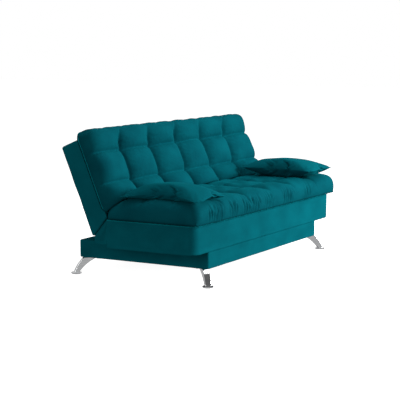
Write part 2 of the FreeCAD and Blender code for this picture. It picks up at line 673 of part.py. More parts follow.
def make_pillows():
    """Two loose pillows lying on the seat, each a cover and its filling."""
    def solid(name, side, inset):
        half_x, half_y = f"(pillow_wide / 2 - {inset})", f"(pillow_long / 2 - {inset})"
        body = prism(name, "XY_Plane", [(f"-{half_x}", f"-{half_y}"), (half_x, f"-{half_y}"),
                                        (half_x, half_y), (f"-{half_x}", half_y)],
                     f"pillow_thick - 2 * {inset}", [((0, 1, 2, 3), f"pillow_corner - {inset}")])
        soften(body, f"pillow_round - {inset}", lambda edge: edge.BoundBox.ZLength < 0.01)
        return place(body, (f"pillow_x_{side}", "pillow_y",
                            "seat_pad_top + pillow_lift + pillow_thick / 2"))
    for side, sx in SIDES:
        keep(cut(f"pillow_shell_{side}", solid(f"pillow_outer_{side}", side, "0"),
                 solid(f"pillow_void_{side}", side, "cover")), f"pillow_{side}_cover")
        keep(solid(f"pillow_core_{side}", side, "cover"), f"pillow_{side}_filling")


def make_gussets():
    """The cloth triangles that close the sides between the seat box and the back."""
    foot_y = "pivot_y + back_rear * cos(back_lean * 1deg) - back_foot * sin(back_lean * 1deg)"
    foot_z = "pivot_z - back_rear * sin(back_lean * 1deg) - back_foot * cos(back_lean * 1deg)"
    for side, sx in SIDES:
        outline = [("seat_rear + 0.5", "gusset_low"), (f"{foot_y} - 12", "gusset_low"),
                   (f"{foot_y} - 6", f"{foot_z} - 4"), ("seat_rear + 0.5", "seat_top - 6")]
        cloth = prism(f"gusset_cloth_{side}", "YZ_Plane", outline, "gusset_thick")
        keep(place(cloth, (f"{sx} * (seat_half - gusset_inset)", "0", "0")), f"gusset_{side}")


make_plinth()
make_legs()
make_seat_frame()
make_hinges()
make_back_frame()
make_back_pad()
make_seat_pad()
make_pillows()
make_gussets()
doc.recompute()

for piece in doc.Objects:
    if "Invalid" in piece.State or "Error" in piece.State:
        raise RuntimeError(f"{piece.Name} failed: {piece.State}")
for piece in nodes:
    if piece.Shape.isNull() or not piece.Shape.isValid():
        raise RuntimeError(f"{piece.Label} has no valid shape")

os.makedirs("parts", exist_ok=True)
for piece in nodes:
    piece.Shape.exportStep(f"parts/{piece.Label}.step")
    size = piece.Shape.BoundBox
    print(f"{piece.Label:24s} solids {len(piece.Shape.Solids):2d}  volume {piece.Shape.Volume:12.0f}"
          f"  x {size.XMin:7.1f} {size.XMax:7.1f}  y {size.YMin:7.1f} {size.YMax:7.1f}"
          f"  z {size.ZMin:6.1f} {size.ZMax:6.1f}")
print(len(nodes), "nodes")
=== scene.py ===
import json
import math

import bmesh
import bpy
import numpy as np
from mathutils import Matrix, Vector
from mathutils.bvhtree import BVHTree


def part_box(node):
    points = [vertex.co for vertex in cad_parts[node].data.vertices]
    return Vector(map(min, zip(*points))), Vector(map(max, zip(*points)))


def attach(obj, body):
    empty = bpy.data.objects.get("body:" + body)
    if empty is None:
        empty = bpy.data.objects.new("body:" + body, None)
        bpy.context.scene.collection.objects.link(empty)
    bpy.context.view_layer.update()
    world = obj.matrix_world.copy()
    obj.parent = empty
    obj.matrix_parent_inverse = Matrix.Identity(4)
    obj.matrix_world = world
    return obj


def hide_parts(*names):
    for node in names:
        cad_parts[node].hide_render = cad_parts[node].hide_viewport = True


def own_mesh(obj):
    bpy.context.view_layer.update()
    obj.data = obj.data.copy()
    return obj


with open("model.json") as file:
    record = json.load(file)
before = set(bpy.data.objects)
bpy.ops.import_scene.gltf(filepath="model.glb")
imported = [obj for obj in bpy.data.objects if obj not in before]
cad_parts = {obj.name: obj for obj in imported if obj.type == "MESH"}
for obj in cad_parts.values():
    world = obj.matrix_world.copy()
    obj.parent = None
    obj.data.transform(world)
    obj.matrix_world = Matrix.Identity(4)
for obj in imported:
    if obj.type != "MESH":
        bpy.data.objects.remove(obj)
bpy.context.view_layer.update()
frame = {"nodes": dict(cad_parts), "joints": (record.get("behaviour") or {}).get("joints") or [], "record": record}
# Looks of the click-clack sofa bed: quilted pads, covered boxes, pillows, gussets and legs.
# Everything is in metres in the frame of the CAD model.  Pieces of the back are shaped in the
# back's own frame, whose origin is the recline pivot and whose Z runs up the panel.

# ---- sizes read from the frame ----

LEAN = math.radians(22.9)
RECLINE = next(joint for joint in frame["joints"] if joint["name"] == "back_recline")
PIVOT = Vector(RECLINE["pos_m"])
BACK_FRAME = Matrix.Translation(PIVOT) @ Matrix.Rotation(-LEAN, 4, "X")

BASE_LOW, BASE_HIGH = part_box("base_cover")
SEAT_LOW, SEAT_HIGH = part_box("seat_box_cover")

EASE = 0.003              # how far a cover stands off the boards it wraps
COVER_THICK = 0.0015
CONTACT_GAP = 0.003       # room left between soft pieces of different bodies
CONTACT_PASSES = 6
GUSSET_CORNER = 0.270     # height where a gusset starts to narrow

# ---- sizes of the quilting ----

COLUMN_SEAMS = np.array([-0.66, -0.33, 0.0, 0.33, 0.66])
CELL_HALF = 0.165
BACK_ROW_SEAMS = np.array([0.224, 0.416])
SEAT_ROW_SEAMS = np.array([-0.30, -0.11])
GATHERS = ((-0.86, -0.65), (-0.60, -0.47), (-0.43, -0.175), (-0.13, 0.01), (0.125, 0.31),
           (0.46, 0.57))

SEED = 7


# ---- mesh helpers ----

def mesh_object(name, points, faces, smooth=True):
    """A new object from points and faces."""
    mesh = bpy.data.meshes.new(name)
    mesh.from_pydata([tuple(map(float, point)) for point in points], [], faces)
    mesh.update()
    if smooth:
        mesh.polygons.foreach_set("use_smooth", [True] * len(mesh.polygons))
    made = bpy.data.objects.new(name, mesh)
    bpy.context.scene.collection.objects.link(made)
    return made


def grid_faces(rows, columns, start=0, loop=False):
    """Quads of a grid of points listed row by row; loop joins each row's end to its start."""
    across = columns if loop else columns - 1
    faces = []
    for row in range(rows - 1):
        for column in range(across):
            after = (column + 1) % columns
            a = start + row * columns + column
            b = start + row * columns + after
            faces.append((a, b, b + columns, a + columns))
    return faces


def waves(x, y, scale, seed):
    """Smooth uneven noise between about -1 and 1, the same on every run."""
    draw = np.random.default_rng(SEED + seed)
    total = np.zeros(np.broadcast(x, y).shape)
    for _ in range(7):
        angle = draw.uniform(0, math.tau)
        pitch = draw.uniform(0.6, 1.6) / scale
        total = total + np.sin(math.tau * pitch * (x * math.cos(angle) + y * math.sin(angle))
                               + draw.uniform(0, math.tau))
    return total / 3.5


def subdivide(piece, levels=1):
    """Add a subdivision surface."""
    smoother = piece.modifiers.new("Subdivision", "SUBSURF")
    smoother.levels = levels
    smoother.render_levels = levels
    return piece


def roll(low, high, radius_low, radius_high, under, power, edge_steps, flat_steps):
    """Positions across a pad and how far each is lifted, from 0 at its foot to 1 on top.

    Each edge rolls out from its foot, round and over: under is how far below the widest point the
    foot is, and power above 2 makes the roll squarer.
    """
    start = -math.asin(under ** (power / 2))
    angles = np.linspace(start, math.pi / 2, edge_steps)
    rise = np.sign(np.sin(angles)) * np.abs(np.sin(angles)) ** (2 / power)
    reach = np.abs(np.cos(angles)) ** (2 / power)
    lift = (rise - rise[0]) / (1 - rise[0])
    first = low + radius_low * (reach[0] - reach)
    last = high - radius_high * (reach[0] - reach)
    flat = np.linspace(first[-1], last[-1], flat_steps)[1:-1]
    place = np.concatenate([first, flat, last[::-1]])
    lifts = np.concatenate([lift, np.ones(flat_steps - 2), lift[::-1]])
    return place, lifts


def round_plan(x, y, radius):
    """Round the corners of a rectangular plan of points."""
    middle_x = (x.min() + x.max()) / 2
    middle_y = (y.min() + y.max()) / 2
    core_x = (x.max() - x.min()) / 2 - radius
    core_y = (y.max() - y.min()) / 2 - radius
    u = np.clip((np.abs(x - middle_x) - core_x) / radius, 0, 1)
    v = np.clip((np.abs(y - middle_y) - core_y) / radius, 0, 1)
    new_u = u * np.sqrt(1 - v ** 2 / 2)
    new_v = v * np.sqrt(1 - u ** 2 / 2)
    return (x - np.sign(x - middle_x) * (u - new_u) * radius,
            y - np.sign(y - middle_y) * (v - new_v) * radius)


def dome(distance, width, power):
    """0 on a seam, rising steeply and levelling out to 1 at a width from it."""
    t = np.clip(distance / width, 0, 1)
    return (1 - (1 - t) ** power) ** (1 / power)


def nearest(values, seams):
    """Distance of each value from the nearest seam."""
    return np.min(np.abs(values[..., None] - seams), axis=-1)


def pad_mesh(name, x, y, z):
    """A closed pad from a grid of surface points, with a flat underside at its rim's height."""
    rows, columns = x.shape
    points = np.stack([x, y, z], axis=-1).reshape(-1, 3)
    faces = grid_faces(rows, columns)
    numbers = np.arange(rows * columns).reshape(rows, columns)
    inner = len(points) + np.arange((rows - 2) * (columns - 2)).reshape(rows - 2, columns - 2)
    under = numbers.copy()
    under[1:-1, 1:-1] = inner
    # the surface's height is held in y for a pad on the back and in z for one on the seat
    flat = np.stack([x, y, z], axis=-1)[1:-1, 1:-1].copy()
    foot = np.stack([x, y, z], axis=-1)[0, 0]
    lifted = 1 if np.ptp(y[:, columns // 2]) < np.ptp(z[:, columns // 2]) else 2
    flat[..., lifted] = foot[lifted]
    points = np.concatenate([points, flat.reshape(-1, 3)])
    for row in range(rows - 1):
        for column in range(columns - 1):
            a, b = under[row, column], under[row, column + 1]
            c, d = under[row + 1, column + 1], under[row + 1, column]
            faces.append((int(a), int(d), int(c), int(b)))
    return mesh_object(name, points, faces)


# ---- quilted pads ----

def tufting(x, s, row_seams, row_half, tuft, crown, row_depth, open_to=None):
    """Height of a quilted surface: deep columns, shallower rows, pulled in where they cross.

    Column seams fade out towards open_to, where the cover is one plain strip.
    """
    across = dome(nearest(x, COLUMN_SEAMS), CELL_HALF, 2.0)
    if open_to is not None:
        across = 1 - (1 - across) * np.clip((open_to - s) / 0.10, 0.15, 1)
    along = dome(nearest(s, row_seams), row_half, 2.6)
    height = tuft + (crown - tuft) * across * (1 - row_depth * (1 - along))
    crossing = np.hypot(nearest(x, COLUMN_SEAMS) / 0.045, nearest(s, row_seams) / 0.05)
    return height - 0.010 * np.exp(-crossing ** 2)


def puckers(x, s, row_seams, size):
    """Small gathers of cloth that run away from the seams and fade out."""
    by_column = np.exp(-nearest(x, COLUMN_SEAMS) / 0.035)
    by_row = np.exp(-nearest(s, row_seams) / 0.028)
    down = waves(x * 0.25, s, 0.045, 1) * by_column
    along = waves(x, s * 0.25, 0.040, 2) * by_row
    crossing = np.exp(-np.hypot(nearest(x, COLUMN_SEAMS), nearest(s, row_seams)) / 0.06)
    return size * (down * 0.9 + along * 0.7 + 1.2 * crossing * waves(x, s, 0.035, 3))


def make_back_pad():
    """The back's pad: six columns and three rows of plump squares on the front of the panel."""
    face = 0.0742
    x, lift_x = roll(-0.962, 0.962, 0.085, 0.085, 0.62, 2.1, 12, 190)
    s, lift_s = roll(0.070, 0.566, 0.060, 0.062, 0.45, 2.2, 11, 62)
    grid_x, grid_s = np.meshgrid(x, s)
    lift = lift_s[:, None] * lift_x[None, :]
    height = tufting(grid_x, grid_s, BACK_ROW_SEAMS, 0.096, 0.040, 0.121, 0.56,
                     open_to=0.566)
    height = height + 0.026 * np.clip((0.24 - grid_s) / 0.12, 0, 1) * dome(
        nearest(grid_x, COLUMN_SEAMS), CELL_HALF, 2.1)
    height = height + puckers(grid_x, grid_s, BACK_ROW_SEAMS, 0.0022)
    height = height + 0.003 * waves(grid_x, grid_s, 0.16, 4)
    plan_x, plan_s = round_plan(grid_x, grid_s, 0.055)
    top = np.clip((grid_s - 0.50) / 0.06, 0, 1)
    plan_s = plan_s + 0.004 * top * waves(grid_x, grid_s * 0.2, 0.07, 5)
    pad = pad_mesh("back_pad", plan_x, -(face + height * lift), plan_s)
    pad.data.flip_normals()
    pad.data.transform(BACK_FRAME)
    return pad


def make_seat_pad():
    """The seat's pad: a soft quilted top, rolled edges and a gathered front."""
    low, thick = 0.3785, 0.127
    x, lift_x = roll(-0.972, 0.972, 0.085, 0.085, 0.55, 2.15, 12, 190)
    y, lift_y = roll(-0.480, 0.124, 0.085, 0.060, 0.55, 2.3, 14, 62)
    grid_x, grid_y = np.meshgrid(x, y)
    lift = lift_y[:, None] * lift_x[None, :]
    height = tufting(grid_x, grid_y, SEAT_ROW_SEAMS, 0.10, thick - 0.022, thick + 0.002, 0.55)
    slope = np.clip((grid_y + 0.010) / 0.137, 0, 1)
    height = height - 0.060 * slope
    height = height + puckers(grid_x, grid_y, SEAT_ROW_SEAMS, 0.0018)
    height = height + 0.003 * waves(grid_x, grid_y, 0.15, 6)
    plan_x, plan_y = round_plan(grid_x, grid_y, 0.055)
    zone = np.zeros_like(grid_x)
    for start, end in GATHERS:
        zone = np.maximum(zone, np.clip((grid_x - start) / 0.02, 0, 1)
                          * np.clip((end - grid_x) / 0.02, 0, 1))
    low_band = np.clip(1 - (grid_y + 0.480) / 0.04, 0, 1) * np.sin(math.pi * np.clip(lift, 0, 1))
    folds = np.sin(math.tau * grid_x / 0.031 + 2.4 * waves(grid_x, lift * 0.1, 0.10, 7))
    folds = folds * (0.75 + 0.5 * waves(grid_x, lift * 0.1, 0.06, 8))
    plan_y = plan_y - 0.0110 * zone * low_band * folds
    pad = pad_mesh("seat_pad", plan_x, plan_y, low + height * lift)
    return pad


# ---- covered boxes ----

def rounded_ring(half_x, front, rear, front_radius, rear_radius, corner_steps=9, side_steps=40):
    """Points of a rounded rectangle, counter-clockwise from the front left."""
    corners = ((-half_x, front, front_radius, 180), (half_x, front, front_radius, 270),
               (half_x, rear, rear_radius, 0), (-half_x, rear, rear_radius, 90))
    ring = []
    for number, (cx, cy, radius, turn) in enumerate(corners):
        centre = (cx - math.copysign(radius, cx), cy + (radius if cy == front else -radius))
        for step in range(corner_steps):
            angle = math.radians(turn + 90 * step / (corner_steps - 1))
            ring.append((centre[0] + radius * math.cos(angle),
                         centre[1] + radius * math.sin(angle)))
        ahead = corners[(number + 1) % 4]
        last = ring[-1]
        angle = math.radians(ahead[3])
        goal = (ahead[0] - math.copysign(ahead[2], ahead[0]) + ahead[2] * math.cos(angle),
                ahead[1] + (ahead[2] if ahead[1] == front else -ahead[2])
                + ahead[2] * math.sin(angle))
        for step in range(1, side_steps):
            part = step / side_steps
            ring.append((last[0] + (goal[0] - last[0]) * part,
                         last[1] + (goal[1] - last[1]) * part))
    return np.array(ring)


def stack(name, rings, close_low=True, close_high=True):
    """A surface through rings of the same number of points, closed at its ends."""
    count = len(rings[0])
    points = np.concatenate(rings)
    faces = grid_faces(len(rings), count, loop=True)
    if close_low:
        faces.append(tuple(reversed(range(count))))
    if close_high:
        faces.append(tuple(range(len(points) - count, len(points))))
    return mesh_object(name, points, faces)


def edge_profile(low, high, low_radius, high_radius, steps, middle_steps):
    """(inset, height, share of the way up) down a wall with rounded lower and upper edges."""
    levels = []
    for step in range(steps):
        angle = math.pi / 2 * step / (steps - 1)
        levels.append((low_radius * (1 - math.sin(angle)), low + low_radius * (1 - math.cos(angle))))
    for step in range(1, middle_steps):
        part = step / middle_steps
        levels.append((0.0, low + low_radius + (high - high_radius - low - low_radius) * part))
    for step in range(steps):
        angle = math.pi / 2 * step / (steps - 1)
        levels.append((high_radius * (1 - math.cos(angle)),
                       high - high_radius * (1 - math.sin(angle))))
    return [(inset, z, (z - low) / (high - low)) for inset, z in levels]


def ripple(ring, z, size, seed):
    """Slight unevenness of cloth stretched over a box."""
    x, y = ring[:, 0], ring[:, 1]
    amount = size * waves(x + y * 0.7, np.full_like(x, z) * 1.4 + (x - y) * 0.1, 0.22, seed)
    outward = np.stack([np.sign(x) * (np.abs(x) > np.abs(x).max() - 0.03),
                        np.sign(y - y.mean()) * (np.abs(y - y.mean())
                                                 > np.ptp(y) / 2 - 0.03)], axis=-1)
    return ring + outward * amount[:, None]


def thicken(piece):
    """Give an open cover its cloth's thickness, inwards."""
    cloth = piece.modifiers.new("Thickness", "SOLIDIFY")
    cloth.thickness = COVER_THICK
    return piece


def make_base():
    """The plinth's cover, pulled tight over sharp boards."""
    rings = []
    for inset, z, _ in edge_profile(BASE_LOW[2], BASE_HIGH[2], 0.005, 0.007, 4, 7):
        inset = inset - EASE
        ring = rounded_ring(BASE_HIGH[0] - inset, BASE_LOW[1] + inset, BASE_HIGH[1] - inset,
                            0.012, 0.012)
        ring = ripple(ring, z, 0.0006, 11)
        rings.append(np.column_stack([ring, np.full(len(ring), z)]))
    return thicken(stack("base_upholstery", rings, close_low=False))


def make_seat_box():
    """The seat box's cover: tight at the top, softly rounded below and at the front corners."""
    rings = []
    low, high = SEAT_LOW[2] - EASE, SEAT_HIGH[2] + 0.0005
    for inset, z, share in edge_profile(low, high, 0.008, 0.006, 7, 12):
        corner = 0.064 - 0.006 * share
        inset = inset - EASE
        ring = rounded_ring(SEAT_HIGH[0] - inset, SEAT_LOW[1] + inset,
                            SEAT_HIGH[1], corner, 0.006)
        ring = ripple(ring, z, 0.0005, 12)
        rings.append(np.column_stack([ring, np.full(len(ring), z)]))
    return stack("seat_box_upholstery", rings)


def make_back_box():
    """The back frame's cover."""
    rings = []
    steps = 24
    curve = 4                 # steps in each rounded edge
    edge = 0.012
    ease = EASE + 0.001
    front, rear = -0.074, 0.063
    foot_front, foot_drop, top = 0.044, 0.072, 0.529 + ease
    for step in range(steps + 1):
        from_end = min(step, steps - step, curve)
        angle = math.pi / 2 * from_end / curve
        inset = edge * (1 - math.sin(angle))
        rise = edge * (1 - math.cos(angle))
        ring = rounded_ring(0.950 + ease - inset, front + inset * 0.3, rear + ease - inset,
                            0.004, 0.013)
        ring = ripple(ring, step * 0.03, 0.0009, 13)
        points = []
        for x, y in ring:
            foot = foot_front - foot_drop * (y - front) / (rear - front) - 0.002
            if step <= curve:
                height = foot + rise
            elif step >= steps - curve:
                height = top - rise
            else:
                share = (step - curve) / (steps - 2 * curve)
                height = foot + edge + (top - foot - 2 * edge) * share
            points.append((x, y, height))
        rings.append(np.array(points))
    cover = stack("back_box_upholstery", rings)
    thicken(cover)
    cutters = []
    for side in ("left", "right"):
        low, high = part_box(f"seat_hinge_arm_{side}")
        rivet_low, rivet_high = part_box(f"hinge_rivet_{side}")
        x_low = min(low[0], rivet_low[0]) - 0.002
        x_high = max(high[0], rivet_high[0]) + 0.002
        corners = [(x, y, z) for x in (x_low, x_high) for y in (-0.120, 0.055)
                   for z in (-0.060, 0.070)]
        sides = [(0, 1, 3, 2), (4, 6, 7, 5), (0, 4, 5, 1), (2, 3, 7, 6), (0, 2, 6, 4),
                 (1, 5, 7, 3)]
        cutter = mesh_object(f"slot_{side}", corners, sides, smooth=False)
        cut = cover.modifiers.new(f"Slot {side}", "BOOLEAN")
        cut.operation = "DIFFERENCE"
        cut.solver = "EXACT"
        cut.object = cutter
        cutters.append(cutter)
    solved = cover.evaluated_get(bpy.context.evaluated_depsgraph_get())
    finished = bpy.data.meshes.new_from_object(solved)
    cover.modifiers.clear()
    cover.data = finished
    for cutter in cutters:
        bpy.data.objects.remove(cutter)
    cover.data.transform(BACK_FRAME)
    return cover


def tube(name, path, radius, closed=False):
    """A thin welt along a path."""
    curve = bpy.data.curves.new(name, "CURVE")
    curve.dimensions = "3D"
    curve.bevel_depth = radius
    curve.bevel_resolution = 2
    line = curve.splines.new("POLY")
    line.points.add(len(path) - 1)
    for point, place in zip(line.points, path):
        point.co = (*map(float, place), 1)
    line.use_cyclic_u = closed
    drawn = bpy.data.objects.new(f"{name}_path", curve)
    bpy.context.scene.collection.objects.link(drawn)
    solved = drawn.evaluated_get(bpy.context.evaluated_depsgraph_get())
    mesh = bpy.data.meshes.new_from_object(solved)
    mesh.polygons.foreach_set("use_smooth", [True] * len(mesh.polygons))
    bpy.data.objects.remove(drawn)
    made = bpy.data.objects.new(name, mesh)
    bpy.context.scene.collection.objects.link(made)
    return made


def make_back_welt():
    """The welt sewn round the foot of the back's pad."""
    path = []
    for x, z in rounded_ring(0.9655, 0.068, 0.571, 0.050, 0.050):
        path.append(BACK_FRAME @ Vector((x, -0.0750, z)))
    return tube("back_welt", path, 0.0028, closed=True)


def make_seat_welt():
    """The welt sewn round the top edge of the seat box."""
    ring = rounded_ring(SEAT_HIGH[0] + EASE + 0.001, SEAT_LOW[1] - EASE - 0.001, SEAT_HIGH[1] - 0.005,
                        0.060, 0.006)
    return tube("seat_welt", [(x, y, SEAT_HIGH[2] - 0.007) for x, y in ring], 0.0028, closed=True)


# ---- gussets ----

def make_gusset(side, sign):
    """The cloth triangle between the seat box and the back's foot, slightly hollowed."""
    low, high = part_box(f"gusset_{side}")
    rows, columns = 14, 12
    points = []
    for row in range(rows):
        v = row / (rows - 1)
        z = low[2] + (high[2] - low[2]) * v
        slope = min(1.0, (high[2] - z) / (high[2] - GUSSET_CORNER))
        reach = 0.001 + (high[1] - low[1] - 0.004) * slope
        for column in range(columns):
            u = column / (columns - 1)
            hollow = 0.006 * math.sin(math.pi * u) * math.sin(math.pi * v)
            fold = 0.0015 * math.sin(9 * u + 4 * v)
            points.append((sign * (0.9455 - hollow + fold), low[1] + reach * u, z))
    cloth = mesh_object(f"gusset_cloth_{side}", points, grid_faces(rows, columns))
    thick = cloth.modifiers.new("Thickness", "SOLIDIFY")
    thick.thickness = 0.0016
    return cloth


# ---- pillows ----

def inflate(piece, pressure, frames):
    """Blow a closed cloth mesh up and keep the result."""
    scene = bpy.context.scene
    cloth = piece.modifiers.new("Cloth", "CLOTH")
    settings = cloth.settings
    settings.use_pressure = True
    settings.uniform_pressure_force = pressure
    settings.effector_weights.gravity = 0
    settings.quality = 6
    settings.mass = 0.25
    settings.tension_stiffness = 20
    settings.compression_stiffness = 20
    settings.bending_stiffness = 0.4
    settings.air_damping = 2
    cloth.point_cache.frame_start = 1
    cloth.point_cache.frame_end = frames
    for number in range(1, frames + 1):
        scene.frame_set(number)
    solved = piece.evaluated_get(bpy.context.evaluated_depsgraph_get())
    shape = np.empty(len(piece.data.vertices) * 3)
    solved.data.vertices.foreach_get("co", shape)
    piece.modifiers.remove(cloth)
    piece.data.vertices.foreach_set("co", shape)
    piece.data.update()
    scene.frame_set(1)
    return piece


def make_pillow(side, seat, centre, turn, droop, thick):
    """A knife-edged pillow: two sheets sewn round the edge, blown up, and laid on the seat."""
    width, length = 0.385, 0.590
    columns, rows = 44, 66
    points = []
    faces = []
    for layer, sign in enumerate((-1, 1)):
        for row in range(rows):
            for column in range(columns):
                u = column / (columns - 1) * 2 - 1
                v = row / (rows - 1) * 2 - 1
                puff = 0.012 * (1 - u ** 2) * (1 - v ** 2)
                points.append((u * width / 2, v * length / 2, sign * puff))
        quads = grid_faces(rows, columns, start=layer * rows * columns)
        faces += quads if sign > 0 else [tuple(reversed(quad)) for quad in quads]
    pillow = mesh_object(f"pillow_{side}", points, faces)
    weld_rim(pillow)
    inflate(pillow, 3.5, 24)
    smoothing = pillow.modifiers.new("Smooth", "SMOOTH")
    smoothing.iterations = 6
    smoothing.factor = 0.5
    smoothing.use_x = False
    smoothing.use_y = False
    eased = pillow.evaluated_get(bpy.context.evaluated_depsgraph_get())
    shape = np.empty(len(pillow.data.vertices) * 3)
    eased.data.vertices.foreach_get("co", shape)
    pillow.modifiers.remove(smoothing)
    shape = shape.reshape(-1, 3)
    shape[:, 2] *= thick / np.ptp(shape[:, 2])
    spread = (shape[:, 0] / (width / 2)) ** 2 + (shape[:, 1] / (length / 2)) ** 2
    shape[:, 2] -= droop * spread
    lie = Matrix.Translation(centre) @ Matrix.Rotation(turn, 4, "Z")
    placed = np.array([lie @ Vector(point) for point in shape])
    for number, (x, y, z) in enumerate(placed):
        height = top_height(seat, x, y)
        if height is not None:
            above = 0.004 if shape[number, 2] > -droop * spread[number] else 0
            placed[number, 2] = max(z, height + CONTACT_GAP + above)
    pillow.data.vertices.foreach_set("co", placed.reshape(-1))
    pillow.data.update()
    return pillow


def weld_rim(piece):
    """Join the two sheets of a pillow along their shared edge."""
    work = bmesh.new()
    work.from_mesh(piece.data)
    bmesh.ops.remove_doubles(work, verts=work.verts, dist=0.0005)
    work.to_mesh(piece.data)
    work.free()


def surface_of(piece):
    """The finished surface of a piece, for resting others on."""
    solved = piece.evaluated_get(bpy.context.evaluated_depsgraph_get())
    mesh = solved.to_mesh()
    places = [piece.matrix_world @ vertex.co for vertex in mesh.vertices]
    tree = BVHTree.FromPolygons(places, [tuple(face.vertices) for face in mesh.polygons])
    solved.to_mesh_clear()
    return tree


def top_height(tree, x, y):
    """Height of a surface seen from above, or None beside it."""
    hit = tree.ray_cast(Vector((x, y, 2.0)), Vector((0, 0, -1)))[0]
    return None if hit is None else hit.z


def press_back_pad(pad, seat):
    """Flatten the foot of the back's pad where it bears on the seat's pad."""
    up = BACK_FRAME.to_3x3() @ Vector((0, 0, 1))
    for vertex in pad.data.vertices:
        for _ in range(CONTACT_PASSES):
            height = top_height(seat, vertex.co.x, vertex.co.y)
            if height is None or vertex.co.z >= height + CONTACT_GAP:
                break
            vertex.co += up * (height + CONTACT_GAP + 0.0005 - vertex.co.z)


# ---- materials ----

def nodes_of(name):
    """A new material with its shader, node list and links."""
    made = bpy.data.materials.new(name)
    made.use_nodes = True
    tree = made.node_tree
    return made, tree.nodes["Principled BSDF"], tree.nodes, tree.links


def noise(nodes, links, scale, detail, stretch=(1, 1, 1)):
    """Noise in the piece's own space."""
    place = nodes.new("ShaderNodeTexCoord")
    turn = nodes.new("ShaderNodeMapping")
    turn.inputs["Scale"].default_value = stretch
    links.new(place.outputs["Object"], turn.inputs["Vector"])
    grain = nodes.new("ShaderNodeTexNoise")
    grain.inputs["Scale"].default_value = scale
    grain.inputs["Detail"].default_value = detail
    links.new(turn.outputs["Vector"], grain.inputs["Vector"])
    return grain


def ramp(nodes, links, source, stops):
    """A colour ramp from (position, colour) stops."""
    made = nodes.new("ShaderNodeValToRGB")
    elements = made.color_ramp.elements
    while len(elements) < len(stops):
        elements.new(0.5)
    for element, (position, colour) in zip(elements, stops):
        element.position = position
        element.color = (*colour, 1)
    links.new(source, made.inputs["Fac"])
    return made


def bump(nodes, links, shader, layers):
    """Bump layers, each (height socket, strength, distance), one over another."""
    last = None
    for height, strength, distance in layers:
        made = nodes.new("ShaderNodeBump")
        made.inputs["Strength"].default_value = strength
        made.inputs["Distance"].default_value = distance
        links.new(height, made.inputs["Height"])
        if last:
            links.new(last.outputs["Normal"], made.inputs["Normal"])
        last = made
    links.new(last.outputs["Normal"], shader.inputs["Normal"])


def velvet(name, dark, light, sheen):
    """Brushed velvet: uneven nap, painted shade in the seams, painted highlight on the crowns that also stands for
    wear, fine pile and a soft sheen.
    """
    made, shader, nodes, links = nodes_of(name)
    blotch = noise(nodes, links, 6.0, 3.0, (1.0, 1.0, 1.6))
    tone = ramp(nodes, links, blotch.outputs["Fac"], ((0.30, dark), (0.72, light)))
    # painted shade and highlight: Pointiness darkens the seams and hollows where shade falls and lightens the
    # crowns, partly as wear
    bends = nodes.new("ShaderNodeNewGeometry")
    painted_seam_shade_and_crown_light = ramp(nodes, links, bends.outputs["Pointiness"],
                ((0.440, (0.45,) * 3), (0.497, (1.0,) * 3), (0.560, (1.18,) * 3)))
    tone_with_painted_shade = nodes.new("ShaderNodeMix")
    tone_with_painted_shade.data_type = "RGBA"
    tone_with_painted_shade.blend_type = "MULTIPLY"
    tone_with_painted_shade.inputs["Factor"].default_value = 1
    links.new(tone.outputs["Color"], tone_with_painted_shade.inputs[6])
    links.new(painted_seam_shade_and_crown_light.outputs["Color"], tone_with_painted_shade.inputs[7])
    links.new(tone_with_painted_shade.outputs[2], shader.inputs["Base Color"])
    pile = noise(nodes, links, 900.0, 2.0)
    crush = noise(nodes, links, 70.0, 4.0, (1.0, 1.0, 0.6))
    bump(nodes, links, shader, ((crush.outputs["Fac"], 0.16, 0.004),
                                (pile.outputs["Fac"], 0.22, 0.0008)))
    rough = ramp(nodes, links, blotch.outputs["Fac"], ((0.2, (0.78,) * 3), (0.8, (0.92,) * 3)))
    links.new(rough.outputs["Color"], shader.inputs["Roughness"])
    shader.inputs["Specular IOR Level"].default_value = 0.01
    shader.inputs["Sheen Weight"].default_value = sheen
    shader.inputs["Sheen Roughness"].default_value = 0.45
    shader.inputs["Sheen Tint"].default_value = (0.0, 0.62, 0.72, 1)
    return made


def chrome():
    """Polished chrome with faint smears and edge brightness."""
    made, shader, nodes, links = nodes_of("chrome")
    smear = noise(nodes, links, 30.0, 3.0, (1, 1, 4))
    tone = ramp(nodes, links, smear.outputs["Fac"], ((0.3, (0.74, 0.75, 0.77)),
                                                     (0.7, (0.86, 0.87, 0.88))))
    links.new(tone.outputs["Color"], shader.inputs["Base Color"])
    rough = ramp(nodes, links, smear.outputs["Fac"], ((0.3, (0.07,) * 3), (0.75, (0.16,) * 3)))
    links.new(rough.outputs["Color"], shader.inputs["Roughness"])
    shader.inputs["Metallic"].default_value = 1
    bump(nodes, links, shader, ((smear.outputs["Fac"], 0.03, 0.001),))
    return made


def steel(name, colour, roughness):
    """Plated steel with a fine brushed grain."""
    made, shader, nodes, links = nodes_of(name)
    grain = noise(nodes, links, 220.0, 3.0, (1, 6, 1))
    dark = tuple(part * 0.75 for part in colour)
    tone = ramp(nodes, links, grain.outputs["Fac"], ((0.3, dark), (0.7, colour)))
    links.new(tone.outputs["Color"], shader.inputs["Base Color"])
    shader.inputs["Metallic"].default_value = 1
    shader.inputs["Roughness"].default_value = roughness
    bump(nodes, links, shader, ((grain.outputs["Fac"], 0.1, 0.0005),))
    return made


def wood(name, dark, light, stretch):
    """Sawn timber or board with grain along its length."""
    made, shader, nodes, links = nodes_of(name)
    rings = noise(nodes, links, 14.0, 6.0, stretch)
    tone = ramp(nodes, links, rings.outputs["Fac"], ((0.35, dark), (0.5, light), (0.62, dark)))
    links.new(tone.outputs["Color"], shader.inputs["Base Color"])
    shader.inputs["Roughness"].default_value = 0.65
    bump(nodes, links, shader, ((rings.outputs["Fac"], 0.2, 0.001),))
    return made


